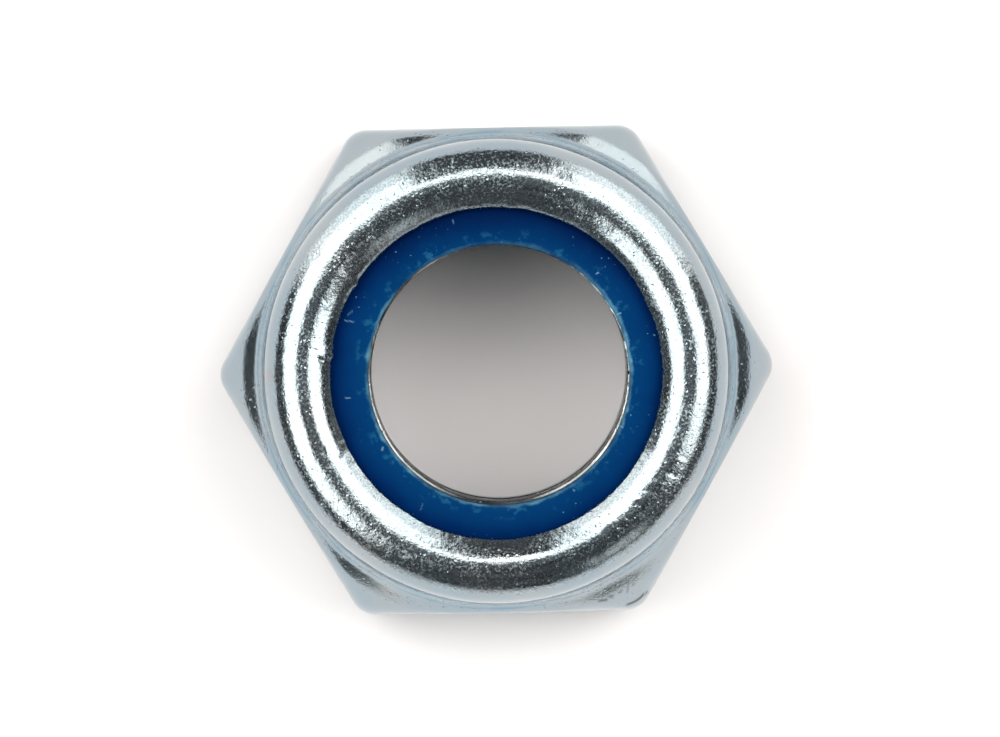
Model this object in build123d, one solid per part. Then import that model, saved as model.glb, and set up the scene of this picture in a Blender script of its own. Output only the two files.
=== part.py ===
from build123d import *
from math import cos, radians, sin, tan
import os

# Prevailing torque hexagon nut with a nylon insert, M8 x 1.25, in millimetres.
# Origin: centre of the bearing face. +Z runs along the thread, towards the insert.
# Two pieces: the cold-formed steel body, and the nylon ring that its rolled rim holds.

# Hexagon
ACROSS_FLATS = 13.0
TOTAL_HEIGHT = 8.0
UPRIGHT_EDGE_RADIUS = 0.68  # rounding of the six upright corners
BEARING_DIAMETER = 12.2
BEARING_CHAMFER_ANGLE = 30.0  # cone under the corners, from the bearing face
DIE_EDGE_RADIUS = 0.1  # rounding that the dies leave on the edges that they strike

# Crowned top of the hexagon, outwards from the collar; slopes are from the horizontal
SHOULDER_SLOPE = 38.0  # cone beside the collar
SLOPE_BREAK_PROUD = 0.35  # where the cone steepens, outside the flats
CORNER_SLOPE = 53.0  # cone over the six corners

# Collar, with its rim rolled in over the insert
COLLAR_HEIGHT = 2.8
COLLAR_INSET = 0.275  # collar's wall inside the flats
FOOT_WIDTH = 0.205  # steep foot that spreads from the wall to the hexagon
FOOT_SLOPE = 68.0
COLLAR_DRAFT = 1.5  # lean of the wall, from the upright
COLLAR_WALL = 0.98  # thickness where the rim starts to roll in
CROWN_RADIUS = 1.0  # rolled rim, over its top and down inside
ROLL_ANGLE = 41.0  # how far its inside turns down
LIP_RUN = 0.12  # straight end of the roll
LIP_FACE_HEIGHT = 0.5  # blunt end of the rim
LIP_FACE_LEAN = 8.0
LIP_EDGE_RADIUS = 0.1  # rounding between the two

# Seat in the collar, and the ring that fills it
SEAT_DEPTH = 2.5  # from the top of the nut
CROWN_THICKNESS = 1.05  # steel over the ring's outer edge
RING_BORE_OVER_THREAD = 0.15  # on the diameter
RING_CHAMFER = 0.14  # both ends of the bore
RING_BULGE = 0.05  # crown of the ring's open face

# Thread, plain at its minor diameter
THREAD_MINOR_DIAMETER = 6.8
THREAD_TOP_CHAMFER = 0.4  # under the ring
COUNTERSINK_WIDTH = 0.92  # from the thread's wall to the bearing face
COUNTERSINK_ANGLE = 120.0

HEXAGON_SIDES = 6
QUARTER_TURN = 90.0


def rise(run, slope):
    """Distance gained across a run, at a slope in degrees."""
    return run * tan(radians(slope))


def from_axis(radius, height):
    """Point of a half-section: distance from the thread's axis, then height."""
    return Vector(radius, height)


# Sizes that follow from the ones above
flat_distance = ACROSS_FLATS / 2
sharp_corner_radius = flat_distance / cos(radians(180.0 / HEXAGON_SIDES))
thread_radius = THREAD_MINOR_DIAMETER / 2
seat_floor = TOTAL_HEIGHT - SEAT_DEPTH

wall_radius = flat_distance - COLLAR_INSET
root_radius = wall_radius + FOOT_WIDTH
root_height = TOTAL_HEIGHT - COLLAR_HEIGHT
wall_height = root_height + rise(FOOT_WIDTH, FOOT_SLOPE)
break_radius = flat_distance + SLOPE_BREAK_PROUD
break_height = root_height - rise(break_radius - root_radius, SHOULDER_SLOPE)
corner_height = break_height - rise(sharp_corner_radius - break_radius, CORNER_SLOPE)

crown_height = TOTAL_HEIGHT - CROWN_RADIUS * (1 - sin(radians(COLLAR_DRAFT)))
crown_outer_radius = wall_radius - rise(crown_height - wall_height, COLLAR_DRAFT)
ridge_radius = crown_outer_radius - CROWN_RADIUS * cos(radians(COLLAR_DRAFT))
roll_slope = radians(ROLL_ANGLE)
lip_radius = ridge_radius - CROWN_RADIUS * sin(roll_slope) - LIP_RUN * cos(roll_slope)
lip_height = TOTAL_HEIGHT - CROWN_RADIUS * (1 - cos(roll_slope)) - LIP_RUN * sin(roll_slope)

seat_radius = crown_outer_radius - COLLAR_WALL
seat_top = TOTAL_HEIGHT - CROWN_THICKNESS
lip_foot = from_axis(lip_radius + rise(LIP_FACE_HEIGHT, LIP_FACE_LEAN), lip_height - LIP_FACE_HEIGHT)
ring_bore_radius = thread_radius + RING_BORE_OVER_THREAD / 2


def hexagon_bar():
    """Six-sided bar with rounded upright edges and two corners on the X axis."""
    with BuildPart() as bar:
        with BuildSketch():
            RegularPolygon(flat_distance, HEXAGON_SIDES, major_radius=False)
            fillet(vertices(), UPRIGHT_EDGE_RADIUS)
        extrude(amount=TOTAL_HEIGHT)
    return bar.part


def round_blank():
    """All the round faces of the steel: end cones, collar, rolled rim, seat, bore, countersink."""
    countersink_edge = from_axis(thread_radius + COUNTERSINK_WIDTH, 0)
    countersink_depth = COUNTERSINK_WIDTH / tan(radians(COUNTERSINK_ANGLE / 2))
    bearing_radius = BEARING_DIAMETER / 2
    chamfer_rise = rise(sharp_corner_radius - bearing_radius, BEARING_CHAMFER_ANGLE)
    with BuildPart() as blank:
        with BuildSketch(Plane.XZ):
            with BuildLine():
                outside = FilletPolyline(
                    countersink_edge,
                    from_axis(bearing_radius, 0),
                    from_axis(sharp_corner_radius, chamfer_rise),
                    from_axis(sharp_corner_radius, corner_height),
                    from_axis(break_radius, break_height),
                    from_axis(root_radius, root_height),
                    from_axis(wall_radius, wall_height),
                    from_axis(crown_outer_radius, crown_height),
                    radius=[DIE_EDGE_RADIUS, 0, 0, DIE_EDGE_RADIUS, 0, 0],
                )
                turn = QUARTER_TURN - COLLAR_DRAFT + ROLL_ANGLE
                crown = JernArc(outside @ 1, outside % 1, CROWN_RADIUS, turn)
                FilletPolyline(
                    crown @ 1,
                    from_axis(lip_radius, lip_height),
                    lip_foot,
                    from_axis(seat_radius, seat_top),
                    from_axis(seat_radius, seat_floor),
                    from_axis(thread_radius + THREAD_TOP_CHAMFER, seat_floor),
                    from_axis(thread_radius, seat_floor - THREAD_TOP_CHAMFER),
                    from_axis(thread_radius, countersink_depth),
                    countersink_edge,
                    radius=[LIP_EDGE_RADIUS, 0, 0, 0, 0, 0, 0],
                )
            make_face()
        revolve(axis=Axis.Z)
    return blank.part


def make_nut_body():
    """Round blank trimmed to the hexagon, with the curved edges of its flats eased."""
    trimmed = round_blank() & hexagon_bar()
    straight_or_round = (GeomType.LINE, GeomType.CIRCLE)
    cone_edges = trimmed.edges().filter_by(lambda edge: edge.geom_type not in straight_or_round)
    return fillet(cone_edges, DIE_EDGE_RADIUS)


def make_nylon_ring():
    """Ring that fills the seat up to the rolled rim, with its open face slightly crowned."""
    bore_top = from_axis(ring_bore_radius, lip_foot.Y)
    bore_bottom = from_axis(ring_bore_radius, seat_floor)
    with BuildPart() as ring:
        with BuildSketch(Plane.XZ):
            with BuildLine():
                SagittaArc(lip_foot, bore_top, -RING_BULGE)
                Polyline(
                    bore_top,
                    bore_bottom,
                    from_axis(seat_radius, seat_floor),
                    from_axis(seat_radius, seat_top),
                    lip_foot,
                )
            make_face()
            bore_corners = vertices().group_by(Axis.X)[0]
            chamfer(bore_corners, RING_CHAMFER)
        revolve(axis=Axis.Z)
    return ring.part


os.makedirs("parts", exist_ok=True)
export_step(make_nut_body(), "parts/nut_body.step")
export_step(make_nylon_ring(), "parts/nylon_insert.step")
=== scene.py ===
import math

import bmesh
import bpy
import numpy as np
from mathutils import Matrix, Vector


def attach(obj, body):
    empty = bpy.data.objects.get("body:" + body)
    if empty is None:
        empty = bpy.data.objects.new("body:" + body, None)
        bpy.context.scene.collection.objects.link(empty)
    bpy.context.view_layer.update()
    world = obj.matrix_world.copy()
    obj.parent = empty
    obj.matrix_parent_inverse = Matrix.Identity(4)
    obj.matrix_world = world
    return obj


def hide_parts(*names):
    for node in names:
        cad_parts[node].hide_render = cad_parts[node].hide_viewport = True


# M8 nylon insert lock nut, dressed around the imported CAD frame.
# Lengths are in millimetres until a mesh or a node takes them, in metres, in the row frame.
# Slopes and turns are in degrees, and an azimuth around the thread's axis is in radians.

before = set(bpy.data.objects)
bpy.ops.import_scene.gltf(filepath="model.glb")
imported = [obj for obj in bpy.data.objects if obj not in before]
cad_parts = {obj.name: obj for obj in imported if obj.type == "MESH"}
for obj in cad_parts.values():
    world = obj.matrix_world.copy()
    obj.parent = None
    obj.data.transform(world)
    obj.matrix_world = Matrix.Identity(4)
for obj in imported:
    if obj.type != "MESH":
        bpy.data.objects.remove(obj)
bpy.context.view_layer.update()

MM = 0.001
TURN = 2 * math.pi

# ---------------------------------------------------------------- sizes
# Hexagon, bearing face and countersink
FLAT_DISTANCE = 6.5  # from the axis
UPRIGHT_EDGE_RADIUS = 0.68
TOTAL_HEIGHT = 8.0
BEARING_RADIUS = 6.1
BEARING_SLOPE = 30.0
COUNTERSINK_RADIUS = 4.32
COUNTERSINK_SLOPE = 30.0

# Crowned top of the hexagon and foot of the collar; a place is (distance from the axis, height)
COLLAR_ROOT = (6.43, 5.2)
FOOT_WIDTH = 0.23
FOOT_SLOPE = 68.0
SHOULDER_SLOPE = 38.0
SLOPE_BREAK = 6.79
CORNER_SLOPE = 53.0

# Collar and rolled rim
WALL_FOOT = (COLLAR_ROOT[0] - FOOT_WIDTH, COLLAR_ROOT[1] + FOOT_WIDTH * math.tan(math.radians(FOOT_SLOPE)))
WALL_DRAFT = 0.4
CROWN_RADIUS = 1.015
CROWN_CENTRE = (5.175, 6.985)
ROLL_ANGLE = 41.5
LIP_RUN = 0.08
LIP_EDGE_RADIUS = 0.12
LIP_LEAN = 8.0

# Seat of the nylon ring
SEAT_RADIUS = 5.2115
SEAT_TOP = 6.95
SEAT_FLOOR = 5.5
RING_BORE_RADIUS = 3.495

# Thread
THREAD_CREST_RADIUS = 3.43
THREAD_PITCH = 1.25
THREAD_DEPTH = 0.6
THREAD_FLANK_ANGLE = 30.0
THREAD_START_HEIGHT = 5.3  # under the ring
THREAD_START_SLOPE = 24.0

# The rolled rim, the ring's bore and the thread sit a little off the hexagon's axis
LIP_OFFSET = (0.0, -0.045)
BORE_OFFSET = (0.075, -0.077)
THREAD_OFFSET = (0.069, -0.08)

# Points in a ring: each count divides the next one up, apart from the nylon, which only meets COARSE
COARSE, MIDDLE, FINE = 180, 360, 720
NYLON = 900


# ---------------------------------------------------------------- number helpers
HASH_AXES = (374761393, 668265263, 1442695041)
HASH_SEED = 974711
HASH_MIX = (1274126177, 2246822519)
HASH_MASK = 0xFFFFFFFF


def lattice(ix, iy, iz, seed):
    """A fixed value from -1 to 1 for each whole-numbered place, by an integer hash."""
    mixed = (ix * HASH_AXES[0] + iy * HASH_AXES[1] + iz * HASH_AXES[2] + seed * HASH_SEED) & HASH_MASK
    mixed = ((mixed ^ (mixed >> 13)) * HASH_MIX[0]) & HASH_MASK
    mixed = ((mixed ^ (mixed >> 15)) * HASH_MIX[1]) & HASH_MASK
    return ((mixed ^ (mixed >> 16)) & 0xFFFF) / 32767.5 - 1.0


def noise3(points, size, seed):
    """Smooth noise from -1 to 1 at points, with lumps of the given size."""
    scaled = points / size
    cell = np.floor(scaled)
    part = scaled - cell
    part = part * part * (3 - 2 * part)
    cell = cell.astype(np.int64)
    total = 0.0
    for dx in (0, 1):
        weight_x = part[..., 0] if dx else 1 - part[..., 0]
        for dy in (0, 1):
            weight_y = part[..., 1] if dy else 1 - part[..., 1]
            for dz in (0, 1):
                weight_z = part[..., 2] if dz else 1 - part[..., 2]
                corner = lattice(cell[..., 0] + dx, cell[..., 1] + dy, cell[..., 2] + dz, seed)
                total = total + weight_x * weight_y * weight_z * corner
    return total


def unevenness(points, layers):
    """Sum of layers of noise, each given by its height, its lumps' size, and its seed."""
    return sum(height * noise3(points, size, seed) for height, size, seed in layers)


def crumbs(points, height, size, seed, threshold):
    """Only the peaks of one layer of noise."""
    return height * np.clip(noise3(points, size, seed) - threshold, 0, 1)


def smooth_min(a, b, k):
    """The smaller of two values, with the corner where they meet rounded over k to each side."""
    share = np.clip(0.5 + 0.5 * (b - a) / k, 0, 1)
    return b * (1 - share) + a * share - k * share * (1 - share)


def smooth_max(a, b, k):
    return -smooth_min(-a, -b, k)


def cot(slope):
    return 1 / math.tan(math.radians(slope))


def angle_gap(azimuth, centre):
    """Signed distance in degrees from azimuth (radians) to centre (degrees)."""
    return (np.degrees(azimuth) - centre + 180.0) % 360.0 - 180.0


def capsule(points, x, y, turn, half_length, half_width):
    """1 on a short stroke in the plane, fading to 0 beside it."""
    c, s = math.cos(math.radians(turn)), math.sin(math.radians(turn))
    along = (points[:, 0] - x) * c + (points[:, 1] - y) * s
    across = -(points[:, 0] - x) * s + (points[:, 1] - y) * c
    gap = np.hypot(np.clip(np.abs(along) - half_length, 0, None), across)
    return np.clip(1.5 - gap / half_width, 0, 1)


# ---------------------------------------------------------------- skins made of rings
def around(count):
    """Azimuths spaced evenly around the axis."""
    return np.arange(count) * TURN / count


def on_circle(azimuth, radius, height):
    radius = np.broadcast_to(radius, azimuth.shape)
    height = np.broadcast_to(height, azimuth.shape)
    return np.stack([radius * np.cos(azimuth), radius * np.sin(azimuth), height], axis=-1)


def push_out(points, azimuth, distance):
    """Moves points away from the axis."""
    points[:, 0] += np.cos(azimuth) * distance
    points[:, 1] += np.sin(azimuth) * distance


def shift(points, offset, share=1.0):
    """Points moved sideways by a share of an offset."""
    points[:, 0] += offset[0] * share
    points[:, 1] += offset[1] * share
    return points


class Skin:
    """A surface of closed rings, each joined to the one before."""

    def __init__(self):
        self.points, self.faces = [], []
        self.first, self.last = None, None
        self.count = 0

    def ring(self, points):
        added = (self.count, len(points))
        self.points.append(np.asarray(points, dtype=float))
        self.count += len(points)
        if self.last is None:
            self.first = added
        else:
            self.join(self.last, added)
        self.last = added

    def join(self, one, two):
        """Faces between two rings; where their counts differ, the larger is a multiple of the smaller."""
        (a, n), (b, m) = one, two
        if n == m:
            for k in range(n):
                j = (k + 1) % n
                self.faces.append((a + k, a + j, b + j, b + k))
            return
        few, many = min(n, m), max(n, m)
        start_few, start_many = (a, b) if n < m else (b, a)
        step = many // few
        half = step // 2
        for k in range(few):
            j = (k + 1) % few
            fan = []
            for s in range(step):
                p, q = start_many + k * step + s, start_many + (k * step + s + 1) % many
                fan.append((p, q, start_few + (k if s < half else j)))
            fan.append((start_many + k * step + half, start_few + j, start_few + k))
            self.faces += [face if n > m else face[::-1] for face in fan]

    def close(self):
        self.join(self.last, self.first)

    def piece(self, name):
        """Closed smooth mesh of the rings, in metres, in the scene."""
        mesh = bpy.data.meshes.new(name)
        mesh.from_pydata((np.vstack(self.points) * MM).tolist(), [], self.faces)
        bm = bmesh.new()
        bm.from_mesh(mesh)
        bmesh.ops.remove_doubles(bm, verts=bm.verts, dist=1e-7)
        bmesh.ops.dissolve_degenerate(bm, edges=bm.edges, dist=1e-8)
        bmesh.ops.recalc_face_normals(bm, faces=bm.faces)
        bm.to_mesh(mesh)
        bm.free()
        mesh.shade_smooth()
        made = bpy.data.objects.new(name, mesh)
        bpy.context.scene.collection.objects.link(made)
        return made


def spread(r, z, rows, bend_weight):
    """Rows spaced along each column of a dense profile, closer where it bends."""
    dr, dz = np.diff(r, axis=0), np.diff(z, axis=0)
    length = np.hypot(dr, dz)
    angle = np.unwrap(np.arctan2(dz, dr), axis=0)
    bend = np.abs(np.diff(angle, axis=0, prepend=angle[:1]))
    reach = np.vstack([np.zeros((1, r.shape[1])), np.cumsum(length + bend_weight * bend, axis=0)])
    reach /= reach[-1]
    wanted = np.linspace(0, 1, rows)
    out_r, out_z = np.empty((rows, r.shape[1])), np.empty((rows, r.shape[1]))
    for column in range(r.shape[1]):
        out_r[:, column] = np.interp(wanted, reach[:, column], r[:, column])
        out_z[:, column] = np.interp(wanted, reach[:, column], z[:, column])
    return out_r, out_z


def paint(piece, name, rule):
    """A value for each vertex, which the material reads."""
    mesh = piece.data
    points = np.empty(len(mesh.vertices) * 3)
    mesh.vertices.foreach_get("co", points)
    values = np.clip(rule(points.reshape(-1, 3) / MM), 0, 1)
    mesh.attributes.new(name, "FLOAT", "POINT").data.foreach_set("value", values.astype(np.float32))


# ---------------------------------------------------------------- steel body, outside
BEARING_RINGS = (4.6, 5.1, 5.6, 5.95, 6.05)  # on the flat bearing face
BEARING_ROUNDING = 0.16
ABOVE_CHAMFER = 0.35  # how far the bottom's profile runs up the flats
SIDE_LOW, SIDE_HIGH = 1.8, 3.2  # rings between which the flats are plain


def hexagon(azimuth):
    """Distance from the axis to the hexagon's side."""
    sixth = TURN / 6
    away = np.abs((azimuth + sixth / 2) % sixth - sixth / 2)
    centre = (FLAT_DISTANCE - UPRIGHT_EDGE_RADIUS) / math.cos(sixth / 2)
    tangent = math.atan2(UPRIGHT_EDGE_RADIUS * 0.5, centre + UPRIGHT_EDGE_RADIUS * math.cos(sixth / 2))
    arc = np.clip(UPRIGHT_EDGE_RADIUS**2 - (centre * np.sin(away)) ** 2, 0, None)
    flat = FLAT_DISTANCE / np.cos(sixth / 2 - away)
    return np.where(away < tangent, centre * np.cos(away) + np.sqrt(arc), flat)


def add_bottom(skin):
    """Bearing face and its chamfer, from the countersink's edge to the flats."""
    azimuth = around(MIDDLE)
    side = hexagon(azimuth)
    for radius in (COUNTERSINK_RADIUS, *BEARING_RINGS):
        skin.ring(on_circle(azimuth, radius, 0.0))
    slope = math.tan(math.radians(BEARING_SLOPE))
    chamfer_height = (side - BEARING_RADIUS) * slope
    dense_z = np.linspace(0, 1, 120)[:, None] * (chamfer_height + ABOVE_CHAMFER)
    dense_r = smooth_min(side, BEARING_RADIUS + dense_z / slope, BEARING_ROUNDING)
    for r, z in zip(*spread(dense_r, dense_z, rows=11, bend_weight=0.35)):
        skin.ring(on_circle(azimuth, r, z))
    skin.ring(on_circle(azimuth, side, SIDE_LOW))


# corners where the cone beside the collar is steeper: azimuth, half width, extra slope
STEEPER = [(250.0, 9.0, 7.0), (313.0, 9.0, 7.0), (290.0, 5.0, 2.0)]
SHOULDER_ROUNDING = 0.05
WALL_ROUNDING = 0.09
CORNER_ROUNDING = 0.07
CONES_TOP = 6.1  # height up to which the cones and the foot are modelled
BELOW_EDGE = 0.6  # how far their profile runs down the flats
EDGE_SEARCH = (3.6, 5.4)  # heights between which the flats' curved edges lie
EDGE_ROUNDING = (0.34, 0.6)  # low at the corners, and from 4.9 mm up growing towards the collar
ROUNDING_GROWS_FROM = 4.9
ROUNDING_GROWTH = 0.7
WALL_KEPT = 0.03  # rounding where the wall is kept from being cut
CONE_LAYERS = [(0.004, 0.9, 31), (0.0015, 0.25, 32)]
CONE_LAYERS_FADE = 0.3


def shoulder_slope(azimuth):
    """The cone beside the collar is steeper over some corners than over others."""
    extra = 0.0
    for at, wide, more in STEEPER:
        extra = extra + more * np.exp(-((angle_gap(azimuth, at) / wide) ** 4))
    return SHOULDER_SLOPE + extra


def collar_wall(z):
    """Radius of the collar's drafted wall."""
    return WALL_FOOT[0] - (z - WALL_FOOT[1]) * math.tan(math.radians(WALL_DRAFT))


def top_cones(z, slope=SHOULDER_SLOPE):
    """Radius of the round blank above the hexagon's middle."""
    shoulder = COLLAR_ROOT[0] + (COLLAR_ROOT[1] - z) / np.tan(np.radians(slope))
    foot = COLLAR_ROOT[0] - (z - COLLAR_ROOT[1]) * cot(FOOT_SLOPE)
    break_height = COLLAR_ROOT[1] - (SLOPE_BREAK - COLLAR_ROOT[0]) / cot(SHOULDER_SLOPE)
    # the corners' cone stops at the collar's root, so that it doesn't cut the wall above
    corner = SLOPE_BREAK + (break_height - np.minimum(z, COLLAR_ROOT[1])) * cot(CORNER_SLOPE)
    upper = smooth_max(smooth_max(shoulder, foot, SHOULDER_ROUNDING), collar_wall(z), WALL_ROUNDING)
    return smooth_min(upper, corner, CORNER_ROUNDING)


def add_cones(skin):
    """Crowned top of the hexagon, up to the collar's wall."""
    azimuth = around(FINE)
    side = hexagon(azimuth)
    # height at which the cones meet the side, found on the cones' own curve
    search = np.linspace(*EDGE_SEARCH, 1500)
    edge = np.interp(-side, -top_cones(search), search)
    low = edge - BELOW_EDGE
    dense_z = low + np.linspace(0, 1, 260)[:, None] * (CONES_TOP - low)
    grown = EDGE_ROUNDING[0] + (dense_z - ROUNDING_GROWS_FROM) * ROUNDING_GROWTH
    rounding = np.clip(grown, *EDGE_ROUNDING)
    dense_r = smooth_min(side, top_cones(dense_z, shoulder_slope(azimuth)), rounding)
    dense_r = smooth_max(dense_r, collar_wall(dense_z), WALL_KEPT)
    skin.ring(on_circle(azimuth, side, SIDE_HIGH))
    for r, z in zip(*spread(dense_r, dense_z, rows=27, bend_weight=0.3)):
        points = on_circle(azimuth, r, z)
        blend = np.clip((z - edge) / CONE_LAYERS_FADE, 0, 1)
        push_out(points, azimuth, unevenness(points, CONE_LAYERS) * blend)
        skin.ring(points)


# ---------------------------------------------------------------- steel body, rolled rim
WALL_RING = 6.5  # height of the one ring between the foot and the roll
RIM_ROWS = 42
RIM_RIDGE_RADIUS = 5.2
RIM_LAYERS = [(0.006, 0.8, 21), (0.0028, 0.24, 22), (0.0016, 0.12, 23)]
RIM_LAYERS_FADE = 0.12  # share of the roll, from the wall
RIM_TOP_WORN = 0.006  # worn off the top
HIGHEST_MARK = (0.002, 0.05)  # at the top, and how much higher down the sides
LIP_BEGINS = 0.86  # share of the roll
LIP_SHARE = 0.8  # of the lip's wander, at the end of the roll
LIP_EDGE_SLOPES = (-41, -51, -61, -71, -82)
LIP_DROPS = (0.08, 0.16, 0.26)
LIP_FOOT_SHARE = 0.3  # of the lip's wander, at the foot of its face
LIP_FACE_LAYERS = [(0.01, 0.12, 15)]
LIP_NOISE_RADIUS = 4.5
LIP_LAYERS = [(0.010, 0.6, 11), (0.006, 0.22, 12), (0.005, 0.09, 13)]

# dents and raised marks on the rim: azimuth and slope at the place (degrees), half width and half length,
# turn (degrees), height
CROWN_MARKS = [
    (172.8, -29, 0.10, 0.13, 80, 0.030),
    (171.4, -36, 0.06, 0.08, 20, 0.028),
    (174.2, -37, 0.05, 0.07, 60, 0.022),
    (172.0, -21, 0.05, 0.10, 70, -0.022),
    (174.8, -30, 0.05, 0.09, 100, -0.020),
    (321.0, 0, 0.07, 0.18, 65, -0.009),
    (324.5, 5, 0.05, 0.20, 72, 0.009),
    (328.5, 12, 0.06, 0.22, 75, -0.011),
    (333.0, 15, 0.05, 0.20, 80, 0.009),
    (317.0, -5, 0.07, 0.16, 50, 0.006),
    (309.0, 10, 0.09, 0.20, 30, -0.005),
    (150.5, 24, 0.05, 0.08, 0, -0.014),
    (145.6, 30, 0.05, 0.09, 20, -0.014),
    (300.5, 22, 0.20, 0.45, 90, 0.010),
    (203.0, -6, 0.06, 0.10, 30, -0.010),
    (208.0, -28, 0.07, 0.11, 50, -0.012),
    (232.0, -24, 0.06, 0.12, 70, 0.010),
]

# burrs on the lip: azimuth and half width (degrees), how far in
LIP_BURRS = [
    (146.6, 1.3, 0.045), (172.8, 1.1, 0.075), (169.8, 1.4, 0.03), (236.6, 1.3, 0.02),
    (84.0, 1.8, 0.015), (22.0, 1.7, 0.015), (118.0, 1.5, 0.015), (255.0, 1.5, 0.015),
]


def crown_marks(azimuth, slope):
    """Height of the dents and raised marks, along the rim's normal."""
    out = np.zeros_like(azimuth)
    for at, tilt, wide, long, turn, lift in CROWN_MARKS:
        u = angle_gap(azimuth, at) * RIM_RIDGE_RADIUS * math.pi / 180
        v = (slope - tilt) * math.pi / 180 * CROWN_RADIUS
        c, s = math.cos(math.radians(turn)), math.sin(math.radians(turn))
        along, across = u * c + v * s, -u * s + v * c
        out += lift * np.exp(-((along / long) ** 2) - (across / wide) ** 2)
    return out


def lip_wander(azimuth):
    """How far the ragged inner edge of the rim stands inwards."""
    points = on_circle(azimuth, LIP_NOISE_RADIUS, 0.0)
    out = unevenness(points, LIP_LAYERS)
    out += crumbs(points, height=0.015, size=0.16, seed=14, threshold=0.45)
    for at, wide, inward in LIP_BURRS:
        out += inward * np.exp(-((angle_gap(azimuth, at) / wide) ** 2))
    return out


def add_rim(skin, inward):
    """Collar's wall, and its rim rolled in over the ring."""
    azimuth = around(FINE)
    skin.ring(on_circle(azimuth, collar_wall(WALL_RING), WALL_RING))
    for k in range(RIM_ROWS):
        t = k / (RIM_ROWS - 1)
        slope = 90 - WALL_DRAFT - t * (90 - WALL_DRAFT + ROLL_ANGLE)
        out, up = math.sin(math.radians(slope)), math.cos(math.radians(slope))
        r, z = CROWN_CENTRE[0] + CROWN_RADIUS * out, CROWN_CENTRE[1] + CROWN_RADIUS * up
        points = on_circle(azimuth, r, z)
        lump = unevenness(points, RIM_LAYERS) * min(1, t / RIM_LAYERS_FADE)
        lump = lump - RIM_TOP_WORN * max(0.0, up) ** 4
        highest = HIGHEST_MARK[0] + HIGHEST_MARK[1] * out**2
        lump = np.minimum(lump + crown_marks(azimuth, slope), highest)
        near_lip = np.clip((t - LIP_BEGINS) / (1 - LIP_BEGINS), 0, 1) ** 2 * LIP_SHARE
        push_out(points, azimuth, lump * out - inward * near_lip)
        points[:, 2] = np.minimum(points[:, 2] + lump * up, TOTAL_HEIGHT)
        skin.ring(shift(points, LIP_OFFSET, np.clip((t - 0.5) / 0.5, 0, 1) ** 2))


def add_lip(skin, inward):
    """Blunt end of the rolled rim."""
    azimuth = around(FINE)
    out, up = math.sin(math.radians(-ROLL_ANGLE)), math.cos(math.radians(-ROLL_ANGLE))
    edge_r = CROWN_CENTRE[0] + (CROWN_RADIUS - LIP_EDGE_RADIUS) * out - up * LIP_RUN
    edge_z = CROWN_CENTRE[1] + (CROWN_RADIUS - LIP_EDGE_RADIUS) * up + out * LIP_RUN
    for slope in LIP_EDGE_SLOPES:
        face_r = edge_r + LIP_EDGE_RADIUS * math.sin(math.radians(slope))
        z = edge_z + LIP_EDGE_RADIUS * math.cos(math.radians(slope))
        skin.ring(shift(on_circle(azimuth, face_r - inward, z), LIP_OFFSET))
    # the face goes down from the last of the edge's places
    for drop in LIP_DROPS:
        rough = unevenness(on_circle(azimuth, LIP_NOISE_RADIUS, drop), LIP_FACE_LAYERS)
        share = LIP_FOOT_SHARE + (1 - LIP_FOOT_SHARE) * (1 - drop / LIP_DROPS[-1])
        r = face_r + drop * math.tan(math.radians(LIP_LEAN)) - inward * share + rough
        skin.ring(shift(on_circle(azimuth, r, edge_z - drop), LIP_OFFSET))


# ---------------------------------------------------------------- steel body, seat and thread
SEAT_FLOOR_INSIDE = 4.4  # where the seat's floor passes to the ring of the thread
THREAD_MOUTH_RADIUS = 4.05
THREAD_LAYERS = [(0.003, 0.35, 41)]
START_LAYERS = [(0.009, 0.3, 43), (0.006, 0.11, 44)]
STARTED = 0.25  # under the seat's floor, where the level rows end
OFFSET_GROWS = 1.5  # height over which the thread moves off the hexagon's axis
# rows lie just beside each edge of the thread, so that its edges stay sharp
LEVEL_DROPS = (0.0, 0.05, 0.1, 0.14, 0.17, 0.185, 0.195, 0.202, 0.21, 0.225)
HELIX_STOPS = (0.0, 0.058, 0.068, 0.325, 0.337, 0.345, 0.5, 0.655, 0.663, 0.675, 0.932, 0.942)


def thread_radius(phase):
    """Internal thread: distance from the axis over one pitch, phase 0 in the middle of the crest."""
    off_crest = np.abs((phase + 0.5) % 1.0 - 0.5) * THREAD_PITCH
    flank = THREAD_DEPTH * math.tan(math.radians(THREAD_FLANK_ANGLE))
    crest_half = THREAD_PITCH / 2 - THREAD_PITCH / 16 - flank
    return THREAD_CREST_RADIUS + THREAD_DEPTH * np.clip((off_crest - crest_half) / flank, 0, 1)


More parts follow.
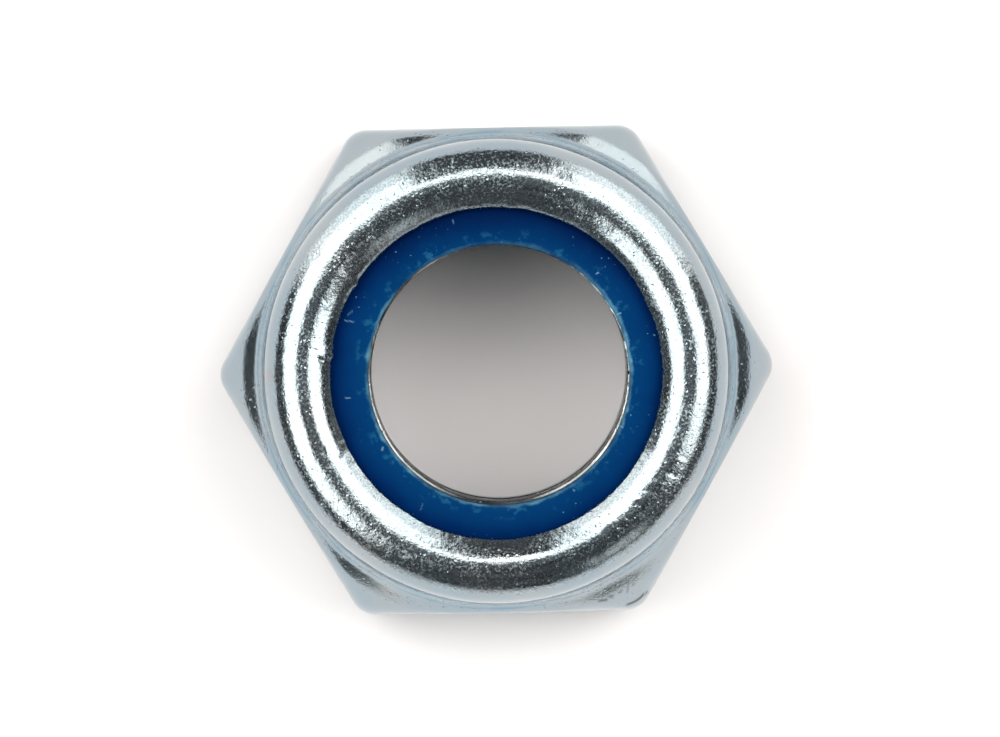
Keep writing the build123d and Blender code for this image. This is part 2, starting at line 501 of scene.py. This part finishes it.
def add_inside(skin):
    """Seat, then the thread from its start under the ring down to the countersink."""
    coarse = around(COARSE)
    skin.ring(on_circle(coarse, SEAT_RADIUS, SEAT_TOP))
    skin.ring(on_circle(coarse, SEAT_RADIUS, SEAT_FLOOR))
    skin.ring(shift(on_circle(coarse, SEAT_FLOOR_INSIDE, SEAT_FLOOR), THREAD_OFFSET))
    azimuth = around(MIDDLE)
    # level rows at the start of the thread, then rows that follow the helix
    rows = [np.full_like(azimuth, SEAT_FLOOR - drop) for drop in LEVEL_DROPS]
    for whole in range(math.ceil(SEAT_FLOOR / THREAD_PITCH) + 2, -2, -1):
        for stop in reversed(HELIX_STOPS):
            climbed = (whole + stop + azimuth / TURN - 0.5) * THREAD_PITCH
            rows.append(np.clip(climbed, 0.0, SEAT_FLOOR - STARTED))
    for z in rows:
        r = thread_radius(z / THREAD_PITCH - azimuth / TURN)
        points = on_circle(azimuth, r, z)
        r = r + unevenness(points, THREAD_LAYERS)
        countersink = COUNTERSINK_RADIUS - z / math.tan(math.radians(COUNTERSINK_SLOPE))
        start = THREAD_CREST_RADIUS + (z - THREAD_START_HEIGHT) / math.tan(math.radians(THREAD_START_SLOPE))
        r = np.maximum(r, np.maximum(countersink, start + unevenness(points, START_LAYERS)))
        r = np.where(z <= 0, COUNTERSINK_RADIUS, r)
        r = np.where(z >= SEAT_FLOOR, np.maximum(r, THREAD_MOUTH_RADIUS), r)
        skin.ring(shift(on_circle(azimuth, r, z), THREAD_OFFSET, np.clip(z / OFFSET_GROWS, 0, 1)))


# ---------------------------------------------------------------- steel body, marks and assembly
# a crack at one corner, as a line of places
CRACK = [(3.355, -6.383), (3.571, -6.307), (3.734, -6.176), (3.951, -6.019)]
CRACK_HALF_WIDTH = 0.022
# dark spots beside it: x, y, turn (degrees), half length, half width, strength
DARK_SPOTS = [
    (2.72, -6.22, 10, 0.10, 0.03, 0.7), (2.95, -6.12, -20, 0.05, 0.03, 0.6),
    (3.54, -5.78, 40, 0.03, 0.03, 0.7), (3.64, -5.64, 60, 0.05, 0.02, 0.6),
    (3.40, -5.90, 80, 0.08, 0.02, 0.5), (3.2, -6.0, 30, 0.06, 0.02, 0.4),
]
DARK_ABOVE = 3.9
# a smudge on the outside of the rim
SMUDGE_AZIMUTH = 179.9
SMUDGE_HEIGHT = 7.35
SMUDGE_HALF_WIDTH, SMUDGE_HALF_HEIGHT = 0.16, 0.3
SMUDGE_ABOVE = 6.0
MM_PER_DEGREE = 0.107  # around the rim's outside


def steel_dark(points):
    out = np.zeros(len(points))
    for (xa, ya), (xb, yb) in zip(CRACK, CRACK[1:]):
        turn = math.degrees(math.atan2(yb - ya, xb - xa))
        half = math.hypot(xb - xa, yb - ya) / 2
        stroke = capsule(points, (xa + xb) / 2, (ya + yb) / 2, turn, half, CRACK_HALF_WIDTH)
        out = np.maximum(out, stroke)
    for x, y, turn, half, wide, strength in DARK_SPOTS:
        out = np.maximum(out, strength * capsule(points, x, y, turn, half, wide))
    return out * (points[:, 2] > DARK_ABOVE)


def steel_smudge(points):
    azimuth = np.arctan2(points[:, 1], points[:, 0])
    sideways = angle_gap(azimuth, SMUDGE_AZIMUTH) * MM_PER_DEGREE / SMUDGE_HALF_WIDTH
    upwards = (points[:, 2] - SMUDGE_HEIGHT) / SMUDGE_HALF_HEIGHT
    return np.exp(-(sideways**2)) * np.exp(-(upwards**2)) * (points[:, 2] > SMUDGE_ABOVE)


def steel_body():
    skin = Skin()
    add_bottom(skin)
    add_cones(skin)
    inward = lip_wander(around(FINE))
    add_rim(skin, inward)
    add_lip(skin, inward)
    add_inside(skin)
    skin.close()
    piece = skin.piece("steel_body")
    paint(piece, "dark", steel_dark)
    paint(piece, "smudge", steel_smudge)
    return piece


# ---------------------------------------------------------------- nylon ring
RING_CHAMFER = 0.14
SEAT_CLEARANCE = 0.004
LIP_CONTACT = (4.66, 7.2)  # outermost place on the ring that the rolled rim covers
FACE_OUTSIDE = (4.62, 7.24)  # where the open face starts, under the lip
FACE_ROWS = 34
FACE_RISE = 0.14  # of the face, towards the bore
FACE_RISE_RATE = 5.0  # most of it is beside the lip
FACE_BULGE = 0.03
BORE_EDGE_RADIUS = 0.13
BORE_EDGE_TURNS = (18, 36, 54, 72, 90)
BORE_DROPS = (0.25, 0.4, 0.6, 0.85, 1.15, 1.45)
BORE_WORN = 0.6
FACE_LAYERS = [(0.008, 1.3, 51), (0.003, 0.3, 52)]
CHEWED_LAYERS = [(0.018, 0.3, 53), (0.014, 0.12, 54)]
# the bore's edge is curled in on one side: azimuth and half width (degrees), how far
CURL_AZIMUTH, CURL_HALF_WIDTH, CURL = 55.0, 62.0, 0.045

# scratches: azimuth, distance from the axis, turn from the radius (degrees), half length, strength
NYLON_SCRATCHES = [
    (160.0, 4.14, 10, 0.13, 0.45), (157.0, 4.19, 60, 0.09, 0.3), (189.0, 4.02, -15, 0.06, 0.6),
    (240.0, 4.12, 12, 0.10, 0.2), (105.0, 4.16, 5, 0.05, 0.35), (43.0, 3.76, -5, 0.03, 0.9),
    (24.0, 3.60, 0, 0.06, 0.9), (335.0, 3.62, 10, 0.06, 0.8), (302.0, 3.78, 20, 0.02, 0.7),
    (213.0, 3.66, 40, 0.05, 0.8),
]
SCRATCH_HALF_WIDTH = 0.013
SCRATCHES_ABOVE = 7.15


def ring_profile():
    """Open face, bore's edge and bore, each place with how worn it is from 0 to 1."""
    outside_r, outside_z = FACE_OUTSIDE
    profile = []
    for t in np.linspace(0, 1, FACE_ROWS):
        r = outside_r + (RING_BORE_RADIUS + BORE_EDGE_RADIUS - outside_r) * t
        z = outside_z + FACE_RISE * (1 - math.exp(-FACE_RISE_RATE * t)) + FACE_BULGE * math.sin(math.pi * t)
        profile.append((r, z, 0.0))
    top = profile[-1][1]
    for turn in BORE_EDGE_TURNS:
        a = math.radians(turn)
        r = RING_BORE_RADIUS + BORE_EDGE_RADIUS - BORE_EDGE_RADIUS * math.sin(a)
        profile.append((r, top - BORE_EDGE_RADIUS * (1 - math.cos(a)), 1.0))
    for drop in BORE_DROPS:
        profile.append((RING_BORE_RADIUS, top - drop, BORE_WORN))
    return profile


def nylon_scuffs(points):
    out = np.zeros(len(points))
    for at, r, turn, half, strength in NYLON_SCRATCHES:
        x, y = r * math.cos(math.radians(at)), r * math.sin(math.radians(at))
        out = np.maximum(out, strength * capsule(points, x, y, at + turn, half, SCRATCH_HALF_WIDTH))
    return out * (points[:, 2] > SCRATCHES_ABOVE)


def nylon_ring():
    skin = Skin()
    # faces hidden in the seat, from the bore's lower chamfer outwards
    coarse = around(COARSE)
    skin.ring(shift(on_circle(coarse, RING_BORE_RADIUS, SEAT_FLOOR + RING_CHAMFER), BORE_OFFSET))
    skin.ring(on_circle(coarse, RING_BORE_RADIUS + RING_CHAMFER, SEAT_FLOOR))
    skin.ring(on_circle(coarse, SEAT_RADIUS - SEAT_CLEARANCE, SEAT_FLOOR + SEAT_CLEARANCE))
    skin.ring(on_circle(coarse, SEAT_RADIUS - SEAT_CLEARANCE, SEAT_TOP))
    skin.ring(on_circle(coarse, *LIP_CONTACT))
    azimuth = around(NYLON)
    curl = np.exp(-((angle_gap(azimuth, CURL_AZIMUTH) / CURL_HALF_WIDTH) ** 4))
    for r, z, worn in ring_profile():
        points = on_circle(azimuth, r, z)
        wave = unevenness(points, FACE_LAYERS)
        chewed_off = crumbs(points, height=0.03, size=0.2, seed=55, threshold=0.4)
        chew = worn * (unevenness(points, CHEWED_LAYERS) + chewed_off)
        push_out(points, azimuth, chew - CURL * worn * curl)
        points[:, 2] += wave * (1 - worn) + 0.4 * chew
        inner = np.clip((FACE_OUTSIDE[0] - r) / (FACE_OUTSIDE[0] - RING_BORE_RADIUS), 0, 1)
        skin.ring(shift(points, BORE_OFFSET, inner))
    skin.close()
    piece = skin.piece("nylon_ring")
    paint(piece, "scuff", nylon_scuffs)
    return piece


# ---------------------------------------------------------------- node helpers
class Tree:
    """Short ways to add nodes to one node tree."""

    def __init__(self, tree):
        self.tree = tree
        self.tree.nodes.clear()

    def node(self, kind, **settings):
        made = self.tree.nodes.new(kind)
        for key, value in settings.items():
            setattr(made, key, value)
        return made

    def feed(self, socket, value):
        """Links an output to a socket, or sets the socket to a plain value."""
        if isinstance(value, bpy.types.NodeSocket):
            self.tree.links.new(value, socket)
        else:
            socket.default_value = value

    def place(self, system):
        """The place being shaded, in one of the texture coordinate systems."""
        return self.node("ShaderNodeTexCoord").outputs[system]

    def math(self, operation, *values):
        made = self.node("ShaderNodeMath", operation=operation)
        for socket, value in zip(made.inputs, values):
            self.feed(socket, value)
        return made.outputs[0]

    def times(self, one, two):
        return self.math("MULTIPLY", one, two)

    def plus(self, one, two):
        return self.math("ADD", one, two)

    def minus(self, one, two):
        return self.math("SUBTRACT", one, two)

    def ramp(self, value, low, high, out_low=0.0, out_high=1.0):
        """Smooth step from out_low to out_high, while the value runs from low to high."""
        made = self.node("ShaderNodeMapRange", interpolation_type="SMOOTHSTEP")
        for socket, item in zip(made.inputs, (value, low, high, out_low, out_high)):
            self.feed(socket, item)
        return made.outputs[0]

    def rising(self, length, band, least=0.0, most=1.0):
        """Ramp up over a band in millimetres."""
        return self.ramp(length, band[0] * MM, band[1] * MM, least, most)

    def falling(self, length, band, most=1.0, least=0.0):
        """Ramp down over a band in millimetres."""
        return self.ramp(length, band[0] * MM, band[1] * MM, most, least)

    def mix(self, factor, one, two, blend="MIX"):
        made = self.node("ShaderNodeMix", data_type="RGBA", blend_type=blend)
        self.feed(made.inputs[0], factor)
        self.feed(made.inputs[6], one)
        self.feed(made.inputs[7], two)
        return made.outputs[2]

    def noise(self, where, scale, detail, roughness=0.5):
        made = self.node("ShaderNodeTexNoise")
        self.feed(made.inputs["Vector"], where)
        made.inputs["Scale"].default_value = scale
        made.inputs["Detail"].default_value = detail
        made.inputs["Roughness"].default_value = roughness
        return made.outputs[0]

    def blotches(self, where, scale, detail, band, values=(0.0, 1.0), roughness=0.5):
        """Noise that passes from the first value to the second over a band of its strength."""
        return self.ramp(self.noise(where, scale, detail, roughness), *band, *values)

    def wobble(self, where, scale, detail, amount, roughness=0.5):
        """Noise around zero, scaled to an amount in millimetres."""
        return self.times(self.minus(self.noise(where, scale, detail, roughness), 0.5), amount * MM)

    def painted(self, name):
        """A value that paint() has put on the vertices."""
        return self.node("ShaderNodeAttribute", attribute_name=name).outputs["Fac"]

    def bump(self, shader, height, distance):
        made = self.node("ShaderNodeBump")
        made.inputs["Strength"].default_value = 1.0
        made.inputs["Distance"].default_value = distance
        self.feed(made.inputs["Height"], height)
        self.tree.links.new(made.outputs[0], shader.inputs["Normal"])


def new_surface(name):
    """Material with a principled shader: the material, its tree and its shader."""
    material = bpy.data.materials.new(name)
    material.use_nodes = True
    t = Tree(material.node_tree)
    shader = t.node("ShaderNodeBsdfPrincipled")
    out = t.node("ShaderNodeOutputMaterial")
    t.tree.links.new(shader.outputs[0], out.inputs[0])
    return material, t, shader


def from_axis(t, where, offset=(0.0, 0.0)):
    """Distance from an upright axis, y from that axis, and height, in metres."""
    axes = t.node("ShaderNodeSeparateXYZ")
    t.feed(axes.inputs[0], where)
    x = t.minus(axes.outputs[0], offset[0] * MM)
    y = t.minus(axes.outputs[1], offset[1] * MM)
    return t.math("SQRT", t.plus(t.times(x, x), t.times(y, y))), y, axes.outputs[2]


# ---------------------------------------------------------------- zinc plated steel
# Colours are linear, noise scales are in cells a metre, and bands are in millimetres.
ZINC_DARKER, ZINC_LIGHTER = (0.284, 0.354, 0.396, 1), (0.330, 0.376, 0.402, 1)
# painted shade: a darker, duller band in the crease at the collar's foot, which hides a pale reflected line
FOOT_SHADE_TINT = (0.12, 0.16, 0.185, 1)
THREAD_BRIGHT, THREAD_OILY = (0.45, 0.47, 0.47, 1), (0.10, 0.11, 0.11, 1)
CYAN = (0.10, 0.235, 0.32, 1)
DARK_TINT = (0.03, 0.03, 0.035, 1)
SMUDGE_TINT = (0.315, 0.315, 0.335, 1)
# bands of the painted shade at the collar's foot
FOOT_SHADE_INSIDE, FOOT_SHADE_OUTSIDE, FOOT_SHADE_TOP = (6.185, 6.205), (6.25, 6.29), (5.66, 5.86)
RIM_FLOOR, RIM_OUTSIDE = (6.35, 6.65), (5.90, 6.02)
THREAD_WALL, THREAD_FLOOR = (3.95, 4.1), (0.8, 1.6)
# lines of passivation at the collar's foot, the last one painted shade that darkens a pale reflected line:
# distance from the axis, half width, strength
PASSIVATION_AND_SHADE_LINES = [(6.285, 0.06, 0.6), (6.395, 0.03, 0.65), (6.36, 0.12, 0.25), (6.235, 0.05, 0.3)]
LEAST_ROUGHNESS = 0.085
ZINC_BUMP = 7.5e-6  # metres


def zinc_tint(t, where, radius, rim, thread, foot_shade):
    tint = t.mix(t.blotches(where, 420.0, 4.0, (0.34, 0.70)), ZINC_DARKER, ZINC_LIGHTER)
    # painted shade at the collar's foot
    tint = t.mix(t.times(foot_shade, 0.8), tint, FOOT_SHADE_TINT)
    grain = t.blotches(where, 19000.0, 1.0, (0.38, 0.62), (0.86, 1.14))
    tint = t.mix(rim, tint, grain, "MULTIPLY")
    oily = t.blotches(where, 800.0, 2.0, (0.40, 0.62), (0.0, 0.75))
    tint = t.mix(thread, tint, t.mix(oily, THREAD_BRIGHT, THREAD_OILY))
    # cyan passivation in broken lines at the collar's foot, and one line of painted shade
    place = t.plus(radius, t.wobble(where, 260.0, 3.0, 0.12))
    broken = t.blotches(where, 900.0, 4.0, (0.36, 0.6), (0.2, 1.0))
    for middle, width, strength in PASSIVATION_AND_SHADE_LINES:
        away = t.math("ABSOLUTE", t.minus(place, middle * MM))
        tint = t.mix(t.times(t.falling(away, (0.0, width), strength), broken), tint, CYAN)
    tint = t.mix(t.painted("dark"), tint, DARK_TINT)
    return t.mix(t.painted("smudge"), tint, SMUDGE_TINT)


def pits(t, where):
    """Small round pits in some of the cells."""
    cells = t.node("ShaderNodeTexVoronoi")
    t.feed(cells.inputs["Vector"], where)
    cells.inputs["Scale"].default_value = 8500.0
    chosen = t.node("ShaderNodeSeparateColor")
    t.feed(chosen.inputs[0], cells.outputs["Color"])
    depth = t.ramp(cells.outputs["Distance"], 0.03, 0.36, -1.0, 0.0)
    return t.times(depth, t.ramp(chosen.outputs[0], 0.62, 0.8))


def zinc():
    """Bright zinc plate, grained on the rolled rim and dull in the thread, with painted shade that darkens
    and dulls the collar's foot.
    """
    material, t, shader = new_surface("zinc_plated_steel")
    where = t.place("Object")
    radius, _, height = from_axis(t, where)
    rim = t.times(t.rising(height, RIM_FLOOR), t.falling(radius, RIM_OUTSIDE))
    thread = t.times(t.falling(radius, THREAD_WALL), t.rising(height, THREAD_FLOOR))
    # painted shade: a darker, less metallic band at the collar's foot
    foot_shade = t.times(t.rising(radius, FOOT_SHADE_INSIDE), t.falling(radius, FOOT_SHADE_OUTSIDE))
    foot_shade = t.times(foot_shade, t.falling(height, FOOT_SHADE_TOP))
    t.feed(shader.inputs["Base Color"], zinc_tint(t, where, radius, rim, thread, foot_shade))
    t.feed(shader.inputs["Metallic"], t.ramp(foot_shade, 0.0, 1.0, 1.0, 0.25))
    shader.inputs["Specular IOR Level"].default_value = 0.1
    specks = t.blotches(where, 14000.0, 2.0, (0.47, 0.62), roughness=0.6)
    patch = t.blotches(where, 700.0, 2.0, (0.35, 0.65), (0.5, 1.0))
    rough = t.times(t.times(specks, t.ramp(rim, 0.0, 1.0, 0.12, 0.27)), patch)
    rough = t.math("MAXIMUM", rough, t.times(thread, 0.13))
    t.feed(shader.inputs["Roughness"], t.plus(rough, LEAST_ROUGHNESS))
    lumps = t.plus(t.noise(where, 12500.0, 3.0, 0.6), t.times(t.noise(where, 4200.0, 2.0), 0.7))
    relief = t.plus(lumps, t.times(pits(t, where), 1.2))
    t.bump(shader, t.times(relief, patch), ZINC_BUMP)
    return material


# ---------------------------------------------------------------- blue nylon
# painted shading of the blue: darkest under the lip, lighter towards the bore
NYLON_SHADED_UNDER_LIP = (0.0, 0.0145, 0.084, 1)
NYLON_MIDDLE = (0.0003, 0.030, 0.117, 1)
NYLON_LIGHTER_AT_BORE = (0.001, 0.041, 0.13, 1)
# painted shadow of the lip, towards +Y
NYLON_SHADE = (0.0, 0.008, 0.05, 1)
# pale scuffs with a painted highlight, at the bore's edge
NYLON_SCUFFED_AND_LIT = (0.11, 0.30, 0.42, 1)
NYLON_TEAL = (0.02, 0.15, 0.27, 1)
NYLON_SCRATCHED = (0.20, 0.40, 0.52, 1)
NYLON_BUMP = 6e-6  # metres


def nylon():
    """Blue nylon with painted shading, darker under the lip and towards +Y and lighter towards the bore,
    with scuffs and a painted highlight at the bore's edge.
    """
    material, t, shader = new_surface("blue_nylon")
    where = t.place("Object")
    radius, y, height = from_axis(t, where, BORE_OFFSET)
    place = t.plus(radius, t.wobble(where, 900.0, 3.0, 0.5))
    # painted shade: darker under the lip, lighter towards the bore
    blue = t.mix(t.falling(place, (3.8, 4.5)), NYLON_SHADED_UNDER_LIP, NYLON_MIDDLE)
    blue = t.mix(t.falling(place, (3.5, 3.85), 0.6), blue, NYLON_LIGHTER_AT_BORE)
    # painted shade: the lip's shadow on the +Y side
    shade = t.times(t.rising(y, (1.2, 4.2)), t.rising(place, (3.5, 4.4), 0.2, 0.8))
    blue = t.mix(shade, blue, NYLON_SHADE)
    # the bore's edge has pale scuffs from the screw and a painted highlight, both least towards +Y, where
    # shade falls, and down the bore
    reach = t.plus(radius, t.wobble(where, 2600.0, 4.0, 0.22, 0.65))
    pale_edge_strength = t.times(t.falling(y, (1.2, 3.0), 1.0, 0.25), t.rising(height, (6.8, 7.25), 0.12, 1.0))
    patches = t.blotches(where, 1500.0, 3.0, (0.35, 0.62), (0.25, 1.0))
    scuffed_and_lit = t.times(t.falling(reach, (3.50, 3.60)), t.times(pale_edge_strength, patches))
    blue = t.mix(t.times(scuffed_and_lit, 0.9), blue, NYLON_SCUFFED_AND_LIT)
    # teal mottling near the bore
    mottle = t.blotches(where, 3400.0, 3.0, (0.53, 0.68), roughness=0.6)
    mottle = t.times(mottle, t.falling(place, (3.65, 3.95), 0.4))
    mottle = t.times(mottle, t.rising(height, (6.8, 7.2), 0.3, 1.0))
    blue = t.mix(mottle, blue, NYLON_TEAL)
    # pale specks in a few places, and the scratches
    few = t.blotches(where, 1100.0, 1.0, (0.52, 0.66))
    specks = t.times(t.blotches(where, 12000.0, 1.0, (0.72, 0.78)), few)
    marks = t.math("MAXIMUM", t.painted("scuff"), t.times(specks, 0.7))
    t.feed(shader.inputs["Base Color"], t.mix(marks, blue, NYLON_SCRATCHED))
    shader.inputs["Roughness"].default_value = 0.55
    shader.inputs["Specular IOR Level"].default_value = 0.01
    t.bump(shader, t.noise(where, 8000.0, 3.0), NYLON_BUMP)
    return material


# ---------------------------------------------------------------- studio
# soft boxes: azimuth, half width, lower and upper elevation, softness at the sides in degrees, brightness
PANELS = [
    (21.5, 48.0, 34.0, 71.0, 4.0, 3.0),
    (171.5, 58.0, 31.0, 72.0, 4.0, 3.0),
    (48.5, 21.5, -2.0, 36.0, 4.0, 1.85),
    (132.0, 20.0, -2.0, 32.0, 4.0, 1.8),
    (91.0, 32.0, 67.0, 79.0, 6.0, 3.7),
    (283.0, 47.0, -5.0, 9.5, 6.0, 0.88),
    (303.0, 8.0, 16.0, 42.0, 5.0, 0.8),
]
PANEL_SOFTNESS = 3.0  # at the upper and lower edges
PANEL_TINT = (1.32, 1.25, 1.17)
HIGH_TINT, LOW_TINT = (1.05, 0.99, 0.965, 1), (0.99, 1.0, 1.0, 1)
BACKDROP = (0.93, 0.93, 0.93, 1)


def panel(t, azimuth, elevation, centre, half, low, high, softness):
    # azimuth measured from the panel's own centre, so that no panel meets the seam at 180 degrees
    turned = t.minus(t.math("MODULO", t.plus(azimuth, 540.0 - centre), 360.0), 180.0)
    side = t.ramp(t.math("ABSOLUTE", turned), half - softness, half + softness, 1.0, 0.0)
    above = t.ramp(elevation, low - PANEL_SOFTNESS, low + PANEL_SOFTNESS)
    below = t.ramp(elevation, high - PANEL_SOFTNESS, high + PANEL_SOFTNESS, 1.0, 0.0)
    return t.times(side, t.times(above, below))


def mirrored_room(t, where, azimuth, elevation):
    """What the polished steel mirrors: soft boxes in a dim, uneven room."""
    total = 0.0
    for *shape, power in PANELS:
        total = t.plus(t.times(panel(t, azimuth, elevation, *shape), power), total)
    uneven = t.blotches(where, 11.0, 3.0, (0.36, 0.64), (0.01, 0.25), roughness=0.6)
    room = t.plus(uneven, t.ramp(elevation, 78.0, 83.0, 0.0, 0.12))
    colour = t.node("ShaderNodeCombineColor")
    for socket, part in zip(colour.inputs, PANEL_TINT):
        t.feed(socket, t.math("MAXIMUM", t.times(total, part), room))
    return colour.outputs[0]


def soft_light(t, x, y, elevation):
    """What lights the paper and the nylon: a broad box overhead, on the +Y side, and a dim surround."""
    front = t.times(t.ramp(y, -0.20, 0.08), t.ramp(y, 0.36, 0.58, 1.0, 0.15))
    high = t.times(front, t.ramp(t.math("ABSOLUTE", x), 0.06, 0.38, 1.75, 6.1))
    low = t.ramp(y, -0.8, 0.4, 1.42, 0.45)
    share = t.ramp(elevation, 38.0, 52.0)
    high_part = t.mix(1.0, t.times(high, share), HIGH_TINT, "MULTIPLY")
    low_part = t.mix(1.0, t.times(low, t.minus(1.0, share)), LOW_TINT, "MULTIPLY")
    return t.mix(1.0, high_part, low_part, "ADD")


def studio_world():
    world = bpy.data.worlds.new("studio")
    bpy.context.scene.world = world
    world.use_nodes = True
    t = Tree(world.node_tree)
    where = t.place("Generated")
    axes = t.node("ShaderNodeSeparateXYZ")
    t.feed(axes.inputs[0], where)
    x, y, z = axes.outputs
    azimuth = t.times(t.math("ARCTAN2", y, x), 180 / math.pi)
    elevation = t.times(t.math("ARCSINE", z), 180 / math.pi)
    paths = t.node("ShaderNodeLightPath").outputs
    mirrored = mirrored_room(t, where, azimuth, elevation)
    light = t.mix(paths["Is Diffuse Ray"], mirrored, soft_light(t, x, y, elevation))
    background = t.node("ShaderNodeBackground")
    t.feed(background.inputs["Color"], t.mix(paths["Is Camera Ray"], light, BACKDROP))
    out = t.node("ShaderNodeOutputWorld")
    t.tree.links.new(background.outputs[0], out.inputs[0])
    world.cycles.sampling_method = "NONE"


def floor():
    """White paper, a hair below the bearing face."""
    half, drop = 1.2, 0.00001
    corners = [(-half, -half, 0), (half, -half, 0), (half, half, 0), (-half, half, 0)]
    mesh = bpy.data.meshes.new("floor")
    mesh.from_pydata(corners, [], [(0, 1, 2, 3)])
    piece = bpy.data.objects.new("floor", mesh)
    bpy.context.scene.collection.objects.link(piece)
    piece.location.z = -drop
    material, _, shader = new_surface("paper")
    shader.inputs["Base Color"].default_value = (0.93, 0.928, 0.926, 1)
    shader.inputs["Roughness"].default_value = 0.9
    shader.inputs["Specular IOR Level"].default_value = 0.2
    mesh.materials.append(material)


# ---------------------------------------------------------------- camera
PHOTO_WIDTH = 1000
PHOTO_CENTRE = (500, 368.5)
NUT_CENTRE = (496.3, 370.2)  # where the nut's axis falls in the photograph
PIXELS_PER_MM = 37.35
CAMERA_DISTANCE = 0.5
CAMERA_TILT = 0.7
CAMERA_ROLL = -1.15
AIM_HEIGHT = 0.0048
SENSOR_WIDTH = 36.0


def camera():
    """Camera nearly straight above, where the photograph was taken from."""
    data = bpy.data.cameras.new("camera")
    data.sensor_width = SENSOR_WIDTH
    data.lens = SENSOR_WIDTH * CAMERA_DISTANCE / (PHOTO_WIDTH / PIXELS_PER_MM * MM)
    data.clip_start, data.clip_end = 0.01, 10.0
    data.shift_x = (PHOTO_CENTRE[0] - NUT_CENTRE[0]) / PHOTO_WIDTH
    data.shift_y = (NUT_CENTRE[1] - PHOTO_CENTRE[1]) / PHOTO_WIDTH
    piece = bpy.data.objects.new("camera", data)
    bpy.context.scene.collection.objects.link(piece)
    tilt = math.radians(CAMERA_TILT)
    back = Vector((0, math.sin(tilt), math.cos(tilt)))
    place = Matrix.Translation(Vector((0, 0, AIM_HEIGHT)) + back * CAMERA_DISTANCE)
    roll = Matrix.Rotation(math.radians(CAMERA_ROLL), 4, "Z")
    piece.matrix_world = place @ Matrix.Rotation(-tilt, 4, "X") @ roll
    bpy.context.scene.camera = piece


def dress(piece, material, node):
    piece.data.materials.append(material)
    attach(piece, "root")
    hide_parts(node)


dress(steel_body(), zinc(), "nut_body")
dress(nylon_ring(), nylon(), "nylon_insert")
floor()
studio_world()
camera()
bpy.context.scene.view_settings.view_transform = "Standard"
